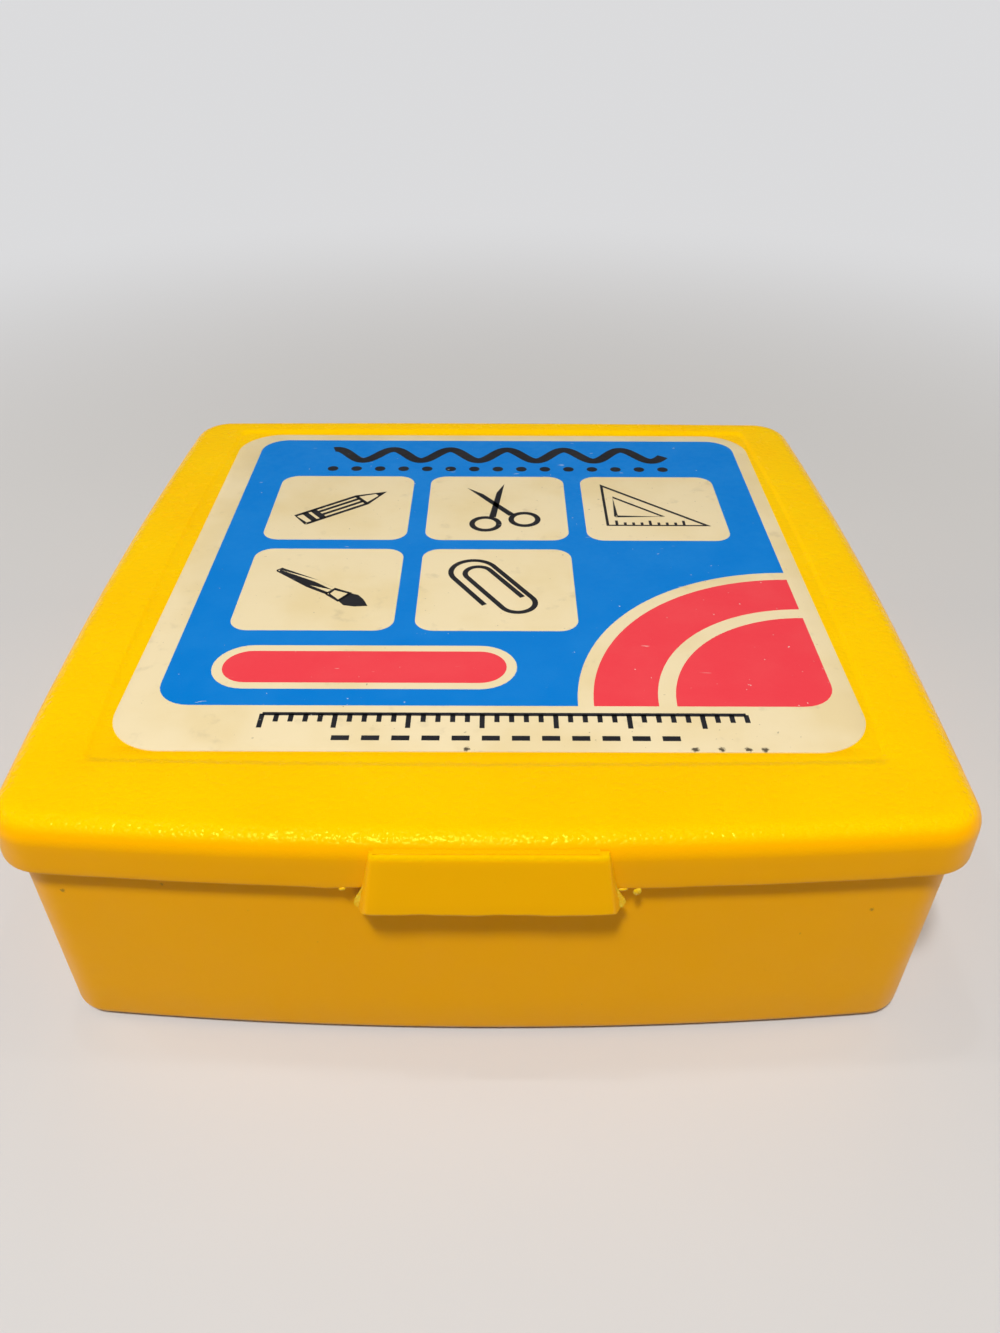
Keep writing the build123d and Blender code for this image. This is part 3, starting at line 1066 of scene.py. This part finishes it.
@dataclass
class MouldFlash:
    """Thin ragged flash left on the tab's outline and at the skirt's parting line."""

    tab: Tab
    thickness: float = 0.14
    bite: float = 0.12
    ear_height: float = 4.0
    ear_reach: float = 0.78
    seed: int = 7
    burr_rough: float = 0.22
    burr_lean: float = 0.35

    def fringe(
        self, name: str, route: list[Vector], outward: list[Vector], reach: list[float]
    ) -> Piece:
        """Ragged ribbon along a route.

        Args:
            name: Name of the piece.
            route: Points where the ribbon leaves the moulding.
            outward: Direction that it stands out in, at each point.
            reach: How far it stands out, at each point.

        Returns:
            The ribbon as a thin closed solid.
        """
        Bench.clear()
        bpy.ops.mesh.primitive_grid_add(x_subdivisions=len(route) - 1, y_subdivisions=2, size=MM)
        ribbon = bpy.context.active_object
        ribbon.name = name
        columns = len(route)
        for index, vertex in enumerate(ribbon.data.vertices):
            column, row = index % columns, index // columns
            share = row / 2
            out = outward[column] * (reach[column] * share - self.bite)
            vertex.co = (route[column] + out) * MM
        Bench.modify(ribbon, "SOLIDIFY", thickness=self.thickness * MM, offset=0.0)
        Bench.smooth(ribbon, 50.0)
        return ribbon

    def around_tab(self) -> Piece:
        """Flash down both ears of the tab and along its foot."""
        chance = random.Random(self.seed)
        tab = self.tab
        y = tab.back_y - self.thickness
        ear = steps(14, self.ear_height, 0.15)
        left = [Vector((tab.offset - tab.half_at(tab.low.z + up), y, tab.low.z + up)) for up in ear]
        across = steps(40, tab.offset - tab.high.x, tab.offset + tab.high.x)
        foot = [Vector((x, y, tab.low.z + self.bite)) for x in across[1:-1]]
        right = [Vector((2 * tab.offset - place.x, y, place.z)) for place in reversed(left)]
        outward = [Vector((-1, 0, 0))] * len(left)
        outward += [Vector((0, 0, -1))] * len(foot)
        outward += [Vector((1, 0, 0))] * len(right)
        lobe = [self.ear_reach * math.sin(math.pi * share**2.0) for share in steps(14, 0.08, 0.93)]
        reach = [wide * (0.85 + 0.3 * chance.random()) for wide in lobe]
        reach += [0.14 + 0.12 * chance.random() for _ in foot]
        reach += [wide * (0.85 + 0.35 * chance.random()) for wide in reversed(lobe)]
        return self.fringe("tab_flash", left + foot + right, outward, reach)

    def nub(self, name: str, centre: Vector, size: Vector, seed: int) -> Piece:
        """Small torn burr: a ball drawn to its size and roughened.

        Args:
            name: Name of the piece.
            centre: Where it sits, in millimetres.
            size: Its three half sizes, in millimetres.
            seed: Seed of its roughness.

        Returns:
            The burr.
        """
        Bench.clear()
        bpy.ops.mesh.primitive_ico_sphere_add(subdivisions=3, radius=1.0)
        burr = bpy.context.active_object
        burr.name = name
        chance = random.Random(seed)
        for vertex in burr.data.vertices:
            rough = 1 + self.burr_rough * (chance.random() - 0.5)
            torn = vertex.co * rough
            torn.x += self.burr_lean * torn.z * abs(torn.z)
            vertex.co = (centre + Vector(a * b for a, b in zip(torn, size))) * MM
        Bench.smooth(burr, 60.0)
        return burr

    def build(self, material: Material) -> None:
        """Models the flash and the burrs that show in front."""
        lid = self.tab.lid
        Bench.finish(self.around_tab(), Body.TAB, Slot.LID, material)
        edge_y = lid.outline.front_y + 0.3
        burrs = (
            ("skirt_burr_left", (-17.6, edge_y, lid.low.z - 0.08), (0.42, 0.18, 0.26)),
            ("skirt_burr_right", (16.6, edge_y, lid.low.z - 0.02), (0.60, 0.20, 0.26)),
            ("skirt_burr_far", (18.4, edge_y, lid.low.z - 0.42), (0.48, 0.16, 0.60)),
            ("corner_burr", (60.5, -57.4, lid.low.z + 0.55), (0.30, 0.45, 0.75)),
        )
        for seed, (name, centre, size) in enumerate(burrs):
            nub = self.nub(name, Vector(centre), Vector(size), seed)
            Bench.finish(nub, Body.LID, Slot.LID, material)


@dataclass
class HingeWeb:
    """Thin web that folds between the two lands of the living hinge."""

    thickness: float = 0.35
    inset: float = 0.003
    around: int = 18
    along: int = 60

    def build(self, material: Material) -> None:
        """Models the web as a curved strip between the tray and the lid."""
        low, high = box_mm("hinge_web")
        outer = (high.z - low.z) / 2
        middle = outer - self.thickness / 2 - self.inset
        centre = Vector((0, low.y, (low.z + high.z) / 2))
        Bench.clear()
        bpy.ops.mesh.primitive_grid_add(
            x_subdivisions=self.along, y_subdivisions=self.around, size=MM
        )
        web = bpy.context.active_object
        web.name = "hinge_web_strip"
        columns = self.along + 1
        for index, vertex in enumerate(web.data.vertices):
            x = low.x + (high.x - low.x) * (index % columns) / self.along
            turn = -math.pi / 2 + math.pi * (index // columns) / self.around
            arm = Vector((x, middle * math.cos(turn), middle * math.sin(turn)))
            vertex.co = (centre + arm) * MM
        Bench.modify(web, "SOLIDIFY", thickness=self.thickness * MM, offset=0.0)
        Bench.smooth(web, 50.0)
        web.data.materials.append(material)
        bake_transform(web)
        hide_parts("hinge_web")
        LOG.info("%s: %d faces, bends across the hinge", web.name, len(web.data.polygons))


class Pen:
    """Flat outlines of printed shapes, in millimetres on the label."""

    @staticmethod
    def arc(centre: Point, radius: float, start: float, end: float, count: int = 24) -> list[Point]:
        """Points along an arc, its angles in degrees."""
        return [
            (
                centre[0] + radius * math.cos(math.radians(angle)),
                centre[1] + radius * math.sin(math.radians(angle)),
            )
            for angle in steps(count, start, end)
        ]

    @staticmethod
    def rounded(centre: Point, half: Point, radius: float) -> list[Point]:
        """Rounded rectangle, anticlockwise."""
        points: list[Point] = []
        for start, (sx, sy) in zip((0, 90, 180, 270), ((1, 1), (-1, 1), (-1, -1), (1, -1))):
            corner = (centre[0] + sx * (half[0] - radius), centre[1] + sy * (half[1] - radius))
            points += Pen.arc(corner, radius, start, start + 90, 8)
        return points

    @staticmethod
    def stroke(points: list[Point], width: float) -> list[Point]:
        """Outline of an open line drawn with one pen width."""
        sides: tuple[list[Point], list[Point]] = ([], [])
        last = len(points) - 1
        for index, (x, y) in enumerate(points):
            before, after = points[max(index - 1, 0)], points[min(index + 1, last)]
            dx, dy = after[0] - before[0], after[1] - before[1]
            length = math.hypot(dx, dy)
            nx, ny = -dy / length * width / 2, dx / length * width / 2
            sides[0].append((x + nx, y + ny))
            sides[1].append((x - nx, y - ny))
        return sides[0] + sides[1][::-1]

    @staticmethod
    def placed(shapes: list[Shape], centre: Point, degrees: float) -> list[Shape]:
        """Shapes drawn about the origin, turned and moved to a centre."""
        c, s = math.cos(math.radians(degrees)), math.sin(math.radians(degrees))
        return [
            [
                [(centre[0] + x * c - y * s, centre[1] + x * s + y * c) for x, y in outline]
                for outline in shape
            ]
            for shape in shapes
        ]


@dataclass
class Label:
    """Printed label: cream stock with three inks, in a plain tile pattern of drawing tools."""

    corner_radius: float = 8.0
    print_half: Point = (47.5, 44.5)
    print_centre: Point = (0.9, 3.5)
    print_radius: float = 5.0
    tile_half: float = 12.6
    tile_step: float = 28.4
    tile_left: float = -27.5
    tile_radius: float = 3.0
    tile_rows: Point = (18.6, -9.8)
    tool_turns: tuple[float, ...] = (38.0, 14.0, 0.0, -36.0, 32.0)
    fan_disc: float = 22.5
    fan_inner: float = 25.0
    fan_outer: float = 34.0
    fan_gap: float = 2.2
    bar_centre: Point = (-18.2, -31.8)
    bar_half: Point = (20.6, 3.9)
    bar_gap: float = 1.5
    ink_height: float = 0.012
    scuffs: tuple[float, ...] = (27.0, 30.5, 34.0, 36.2, -3.0)
    line: float = 0.7

    def __post_init__(self) -> None:
        """Reads the label's own box."""
        self.low, self.high = box_mm("label")
        self.centre = (self.low + self.high) / 2

    @property
    def fan_centre(self) -> Point:
        """Lower right corner of the print, where the fan starts."""
        return (
            self.print_centre[0] + self.print_half[0],
            self.print_centre[1] - self.print_half[1],
        )

    def tiles(self) -> list[Point]:
        """Centres of the five cream tiles, three above and two below."""
        places = ((0, 0), (1, 0), (2, 0), (0, 1), (1, 1))
        return [
            (self.tile_left + column * self.tile_step, self.tile_rows[row])
            for column, row in places
        ]

    def blue_field(self) -> Shape:
        """Blue ground with the tiles left bare and the fan's corner cut away."""
        (cx, cy), (hx, hy), r = self.print_centre, self.print_half, self.print_radius
        ground = Pen.arc((cx + hx - r, cy + hy - r), r, 0, 90, 8)
        ground += Pen.arc((cx - hx + r, cy + hy - r), r, 90, 180, 8)
        ground += Pen.arc((cx - hx + r, cy - hy + r), r, 180, 270, 8)
        ground += Pen.arc(self.fan_centre, self.fan_outer + self.fan_gap, 180, 90, 40)
        tile = (self.tile_half, self.tile_half)
        frame_half = (self.bar_half[0] + self.bar_gap, self.bar_half[1] + self.bar_gap)
        bar_frame = Pen.rounded(self.bar_centre, frame_half, frame_half[1])
        tiles = [Pen.rounded(centre, tile, self.tile_radius) for centre in self.tiles()]
        return [ground, bar_frame] + tiles

    def red_fan(self) -> list[Shape]:
        """Quarter disc with a rounded corner, the quarter ring round it and a round-ended bar."""
        fx, fy = self.fan_centre
        r = self.print_radius
        disc = Pen.arc((fx, fy), self.fan_disc, 90, 180, 30)
        disc += Pen.arc((fx - r, fy + r), r, 270, 360, 8)
        band = Pen.arc((fx, fy), self.fan_outer, 90, 180, 36)
        band += Pen.arc((fx, fy), self.fan_inner, 180, 90, 36)
        bar = Pen.rounded(self.bar_centre, self.bar_half, self.bar_half[1])
        return [[disc], [band], [bar]]

    def strokes(self, *lines: list[Point]) -> list[Shape]:
        """Lines drawn with the label's pen."""
        return [[Pen.stroke(line, self.line)] for line in lines]

    def pencil(self) -> list[Shape]:
        """Pencil seen from the side: barrel, bands and point."""
        shapes = self.strokes(
            [(-8.6, -1.9), (4.2, -1.9), (9.4, 0.0), (4.2, 1.9), (-8.6, 1.9), (-8.6, -1.9)],
            [(4.2, -1.9), (4.2, 1.9)],
            [(-4.4, -0.6), (4.2, -0.6)],
            [(-4.4, 0.7), (4.2, 0.7)],
        )
        shapes.append([[(-7.3, -1.9), (-6.2, -1.9), (-6.2, 1.9), (-7.3, 1.9)]])
        shapes.append([[(-5.6, -1.9), (-4.4, -1.9), (-4.4, 1.9), (-5.6, 1.9)]])
        shapes.append([[(7.6, -0.66), (9.4, 0.0), (7.6, 0.66)]])
        return shapes

    def scissors(self) -> list[Shape]:
        """Open scissors: two loops and two blades."""
        shapes: list[Shape] = []
        for side in (-1, 1):
            loop = Pen.arc((side * 3.6, -5.9), 2.9, 0, 360, 28)[:-1]
            hole = Pen.arc((side * 3.6, -5.9), 1.9, 0, 360, 28)[:-1]
            shapes.append([loop, hole])
            blade = [(side * 2.4, -3.6), (side * 1.2, -3.9), (-side * 3.6, 8.8), (-side * 1.3, 5.6)]
            shapes.append([blade])
        return shapes

    def brush(self) -> list[Shape]:
        """Paint brush: thin handle, ferrule and a pointed tuft."""
        handle = [(-9.4, -0.35), (-2.0, -1.0), (2.2, -0.8)]
        handle += [(2.2, 0.8), (-2.0, 1.0), (-9.4, 0.35), (-9.4, -0.35)]
        ferrule = [(2.2, -0.9), (5.0, -1.4), (5.0, 1.4), (2.2, 0.9), (2.2, -0.9)]
        tuft = [(5.0, -1.4), (6.6, -1.9), (8.2, -1.2)]
        tuft += [(9.8, 0.2), (8.0, 1.3), (6.4, 1.8), (5.0, 1.4)]
        return self.strokes(handle, ferrule) + [[tuft]]

    def set_square(self) -> list[Shape]:
        """Set square: a triangle with a bare middle and marks along its foot."""
        outer = [(-8.4, -6.8), (8.4, -6.8), (-8.4, 8.2)]
        inner = [(-6.9, -3.6), (1.6, -3.6), (-6.9, 4.0)]
        edge_out = [(-8.9, -7.2), (9.7, -7.2), (-8.9, 9.4)]
        shapes = [[edge_out, outer]] + self.strokes(inner + inner[:1])
        for index in range(9):
            x = -7.0 + index * 1.5
            tick = [(x, -6.8), (x, -5.2 if index % 4 == 0 else -5.9)]
            shapes.append([Pen.stroke(tick, self.line * 0.7)])
        return shapes

    def paper_clip(self) -> list[Shape]:
        """Paper clip: one wire in three nested bends."""
        wire = [(2.0, -4.6)] + Pen.arc((-0.2, 5.4), 2.2, 0, 180, 16)
        wire += Pen.arc((0.4, -5.6), 2.8, 180, 360, 18)
        wire += Pen.arc((-0.6, 6.2), 3.8, 0, 180, 22) + [(-4.4, -3.4)]
        return [[Pen.stroke(wire, 0.9)]]

    def header(self) -> list[Shape]:
        """Bold wave and a row of dots across the blue at the top."""
        wave = [(x, 41.0 + 2.6 * math.sin(x * 0.55)) for x in steps(170, -32.0, 34.0)]
        shapes: list[Shape] = [[Pen.stroke(wave, 2.3)]]
        for index in range(15):
            shapes.append([Pen.arc((-31.2 + index * 4.6, 34.6), 1.05, 0, 360, 18)[:-1]])
        return shapes

    def footer(self) -> list[Shape]:
        """Plain measuring scale and a broken line on the bare strip at the foot."""
        shapes = self.strokes([(-31.0, -42.9), (35.0, -42.9)])
        for index in range(34):
            x = -31.0 + index * 2.0
            shapes += self.strokes([(x, -42.9), (x, -45.9 if index % 5 == 0 else -44.6)])
        for index in range(12):
            x = -21.0 + index * 4.0
            shapes.append([Pen.stroke([(x, -48.0), (x + 2.4, -48.0)], 1.0)])
        return shapes

    def black_lines(self) -> list[Shape]:
        """Everything that the black ink prints."""
        tools = (self.pencil, self.scissors, self.set_square, self.brush, self.paper_clip)
        shapes: list[Shape] = []
        for draw, centre, turn in zip(tools, self.tiles(), self.tool_turns):
            shapes += Pen.placed(draw(), centre, turn)
        return shapes + self.header() + self.footer()

    def stamp(self, name: str, shapes: list[Shape], layer: int, material: Material) -> None:
        """Prints one ink as thin closed plates on the label.

        Args:
            name: Name of the piece.
            shapes: Its shapes, each an outline with any holes.
            layer: Which coat of ink it is, counted from the stock.
            material: The ink.
        """
        base = self.high.z + self.ink_height * (layer + 0.5)
        parts = []
        for shape in shapes:
            curve = bpy.data.curves.new(name, "CURVE")
            curve.dimensions = "2D"
            curve.fill_mode = "BOTH"
            curve.extrude = self.ink_height / 2 * MM
            for outline in shape:
                spline = curve.splines.new("POLY")
                spline.points.add(len(outline) - 1)
                spline.use_cyclic_u = True
                for point, (u, v) in zip(spline.points, outline):
                    point.co = ((self.centre.x + u) * MM, (self.centre.y + v) * MM, 0, 1)
            part = bpy.data.objects.new(name, curve)
            bpy.context.scene.collection.objects.link(part)
            parts.append(part)
        Bench.clear()
        for part in parts:
            part.select_set(True)
        bpy.context.view_layer.objects.active = parts[0]
        bpy.ops.object.convert(target="MESH")
        ink = Bench.join(parts, name) if len(parts) > 1 else parts[0]
        ink.data.transform(Matrix.Translation((0, 0, base * MM)))
        Bench.take(ink)
        bpy.ops.object.mode_set(mode="EDIT")
        bpy.ops.mesh.select_all(action="SELECT")
        bpy.ops.mesh.remove_doubles(threshold=1e-7)
        bpy.ops.mesh.normals_make_consistent(inside=False)
        bpy.ops.object.mode_set(mode="OBJECT")
        Bench.finish(ink, Body.LID, Slot.LABEL, material)

    def stock(self, material: Material) -> None:
        """Models the label's sheet, with rounded corners and a softened upper edge."""
        Bench.clear()
        bpy.ops.mesh.primitive_plane_add(size=1.0)
        sheet = bpy.context.active_object
        sheet.name = "label_stock"
        sheet.scale = ((self.high.x - self.low.x) * MM, (self.high.y - self.low.y) * MM, 1)
        sheet.location = Vector((self.centre.x, self.centre.y, self.low.z)) * MM
        bpy.ops.object.transform_apply(location=True, rotation=True, scale=True)
        bpy.ops.object.mode_set(mode="EDIT")
        bpy.ops.mesh.select_all(action="SELECT")
        bpy.ops.mesh.bevel(offset=self.corner_radius * MM, segments=16, affect="VERTICES")
        bpy.ops.mesh.select_all(action="SELECT")
        rise = (self.high.z - self.low.z) * MM
        bpy.ops.mesh.extrude_region_move(TRANSFORM_OT_translate={"value": (0, 0, rise)})
        bpy.ops.mesh.bevel(offset=0.04 * MM, segments=2, affect="EDGES")
        bpy.ops.object.mode_set(mode="OBJECT")
        Bench.smooth(sheet, 40.0)
        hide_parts("label")
        Bench.finish(sheet, Body.LID, Slot.LABEL, material)

    def build(self) -> None:
        """Models the label's sheet and prints its three inks."""
        scuffs = tuple((self.centre.x + u, self.low.y + 0.5, self.high.z) for u in self.scuffs)
        self.stock(LabelPaper(scuffs=scuffs).build())
        blue = PrintInk("blue_ink", (0.0, 0.20, 0.66, 1.0), (0.02, 0.26, 0.72, 1.0))
        red = PrintInk("red_ink", (0.86, 0.055, 0.075, 1.0), (0.88, 0.10, 0.11, 1.0), screen=0.5)
        soot, worn_soot = (0.018, 0.018, 0.022, 1.0), (0.05, 0.05, 0.055, 1.0)
        black = PrintInk("black_ink", soot, worn_soot, wear=0.4)
        self.stamp("label_blue_ink", [self.blue_field()], 0, blue.build())
        self.stamp("label_red_ink", self.red_fan(), 0, red.build())
        self.stamp("label_black_ink", self.black_lines(), 1, black.build())


@dataclass
class Studio:
    """Camera at the photograph's angle, pale floor and soft light."""

    image_width: float = 1000.0
    image_height: float = 1333.0
    focal_pixels: float = 1067.03
    pitch: float = 0.6216
    yaw: float = 0.003
    roll: float = -0.0049
    eye: Place = (1.242, -153.081, 129.479)
    sensor: float = 36.0
    backdrop: Colour = (0.71, 0.71, 0.72, 1.0)
    table: Colour = (0.22, 0.22, 0.22, 1.0)
    floor_dark: Colour = (0.62, 0.62, 0.63, 1.0)
    floor_light: Colour = (0.65, 0.65, 0.66, 1.0)
    floor_near: float = 0.12
    floor_far: float = 0.42
    ambient: float = 0.07
    white: Place = (1.0, 1.0, 1.0)
    warm: Place = (1.0, 0.84, 0.60)
    aim: Place = (0.0, 0.0, 0.02)

    def camera(self) -> None:
        """Adds the camera where the photograph was taken from."""
        ahead = Vector(
            (
                math.sin(self.yaw) * math.cos(self.pitch),
                math.cos(self.yaw) * math.cos(self.pitch),
                -math.sin(self.pitch),
            )
        )
        level = Vector((math.cos(self.yaw), -math.sin(self.yaw), 0.0))
        down = ahead.cross(level)
        across = level * math.cos(self.roll) + down * math.sin(self.roll)
        drop = down * math.cos(self.roll) - level * math.sin(self.roll)
        data = bpy.data.cameras.new("camera")
        data.sensor_width = self.sensor
        data.lens = self.focal_pixels / max(self.image_width, self.image_height) * self.sensor
        data.clip_start = 0.005
        camera = bpy.data.objects.new("camera", data)
        turn = Matrix((across, -drop, -ahead)).transposed().to_4x4()
        camera.matrix_world = Matrix.Translation(Vector(self.eye) * MM) @ turn
        bpy.context.scene.collection.objects.link(camera)
        bpy.context.scene.camera = camera

    def floor(self) -> None:
        """Adds the pale floor, which keeps its shadows near the box and fades into the backdrop."""
        Bench.clear()
        bpy.ops.mesh.primitive_plane_add(size=8.0)
        floor = bpy.context.active_object
        floor.name = "floor"
        nodes = Nodes("floor")
        pale = nodes.blend(nodes.noise(400.0, 2.0), self.floor_dark, self.floor_light)
        colour = nodes.blend(self.seen(nodes), self.table, pale)
        nodes.set(Base_Color=colour, Roughness=0.8, Specular_IOR_Level=0.2)
        away = nodes.add("ShaderNodeVectorMath", operation="LENGTH")
        nodes.link(nodes.place, away.inputs[0])
        far = nodes.span(away.outputs["Value"], self.floor_near, self.floor_far, 0.0, 1.0)
        glow = nodes.add("ShaderNodeEmission")
        glow.inputs["Color"].default_value = self.backdrop
        mix = nodes.add("ShaderNodeMixShader")
        nodes.link(nodes.math("MULTIPLY", far, self.seen(nodes)), mix.inputs[0])
        nodes.link(nodes.shader.outputs[0], mix.inputs[1])
        nodes.link(glow.outputs[0], mix.inputs[2])
        nodes.link(mix.outputs[0], nodes.tree.nodes["Material Output"].inputs["Surface"])
        floor.data.materials.append(nodes.material)

    @staticmethod
    def seen(nodes: Nodes) -> Socket:
        """1 for rays that come from the camera or through a gloss or glass, or else 0."""
        path = nodes.add("ShaderNodeLightPath").outputs
        mirrored = nodes.math("MAXIMUM", path["Is Glossy Ray"], path["Is Transmission Ray"])
        return nodes.math("MAXIMUM", path["Is Camera Ray"], mirrored)

    def lamp(self, name: str, place: Place, size: float, power: float, tint: Place) -> None:
        """Adds a soft square lamp that faces the box, which mirrors only the white ones.

        Args:
            name: Name of the lamp.
            place: Where it hangs, in metres.
            size: Length of its side, in metres.
            power: Its power, in watts.
            tint: Colour of its light.
        """
        data = bpy.data.lights.new(name, "AREA")
        data.color = tint
        data.shape = "SQUARE"
        data.size = size
        data.energy = power
        lamp = bpy.data.objects.new(name, data)
        lamp.visible_glossy = tint == self.white
        lamp.location = place
        lamp.rotation_mode = "QUATERNION"
        lamp.rotation_quaternion = (Vector(self.aim) - Vector(place)).to_track_quat("-Z", "Y")
        bpy.context.scene.collection.objects.link(lamp)

    def build(self) -> None:
        """Adds the camera, the floor, the lamps and the pale surroundings."""
        self.camera()
        self.floor()
        lamps = (
            ("key", (-0.11, -0.46, 0.884), 0.12, 7.8, self.white),
            ("sparkle_0", (-0.42, 0.03, 0.93), 0.02, 0.30, self.white),
            ("sparkle_1", (-0.14, 0.03, 0.93), 0.02, 0.30, self.white),
            ("sparkle_2", (0.24, 0.03, 0.93), 0.02, 0.20, self.white),
            ("front_fill", (0.10, -0.90, 0.25), 0.4, 1.2, self.warm),
            ("left_fill", (-0.93, 0.04, 0.22), 0.36, 2.4, self.warm),
            ("right_fill", (0.93, 0.04, 0.22), 0.36, 2.4, self.warm),
            ("back_fill", (0.0, 0.95, 0.27), 0.5, 1.5, self.warm),
        )
        for lamp in lamps:
            self.lamp(*lamp)
        self.surroundings()

    def surroundings(self) -> None:
        """Sets a dim world that the camera sees as the pale backdrop."""
        world = bpy.data.worlds.new("surroundings")
        world.use_nodes = True
        tree = world.node_tree
        sky = tree.nodes["Background"]
        path = tree.nodes.new("ShaderNodeLightPath")
        tint = tree.nodes.new("ShaderNodeMix")
        tint.data_type = "RGBA"
        tree.links.new(path.outputs["Is Camera Ray"], tint.inputs["Factor"])
        dim = (self.ambient, self.ambient, self.ambient, 1.0)
        tint.inputs[Nodes.MIX_FIRST].default_value = dim
        tint.inputs[Nodes.MIX_SECOND].default_value = self.backdrop
        tree.links.new(tint.outputs[Nodes.MIX_RESULT], sky.inputs["Color"])
        sky.inputs["Strength"].default_value = 1.0
        bpy.context.scene.world = world
        bpy.context.scene.view_settings.view_transform = "Standard"


def main() -> None:
    """Builds the looks of the whole box, piece by piece."""
    logging.basicConfig(level=logging.INFO, format="%(message)s")
    Studio().build()
    lid = Lid()
    tab = Tab(lid)
    label = Label()
    # The lid turns to the painted shade tone below its grained top edge, and it gets painted shade
    # in front of the label.
    lid_plastic = MouldedPlastic("lid_plastic", painted_label_shade=(label.low.y, label.high.x)).build()
    tray_marks = ((49.7, -59.6, 24.0), (-40.8, -60.5, 29.2), (-54.1, -59.2, 26.8))
    # The tray's grain heights lie above it, so the whole tray is coloured in the painted shade
    # tone.
    tray_plastic = MouldedPlastic(
        "tray_plastic", grain_from=60.0, grain_to=70.0, marks=tray_marks
    ).build()
    # The tab's darker tone is lighter than the skirt's, as painted light on its leaning face; the
    # pale band at its top edge is a painted highlight, and above it the crease heights bring back
    # the darker tone as painted shade on the ledge.
    tab_plastic = MouldedPlastic(
        "tab_plastic",
        painted_shade_tone=(1.0, 0.485, 0.0, 1.0),
        grain_from=37.2,
        grain_to=37.8,
        crease=(37.95, 38.15),
        pebble_depth=0.05,
    ).build()
    lid.build(lid_plastic)
    Tray(lid).build(tray_plastic)
    tab.build(tab_plastic)
    MouldFlash(tab).build(ThinFlash().build())
    HingeWeb().build(tray_plastic)
    label.build()


if __name__ == "__main__":
    main()
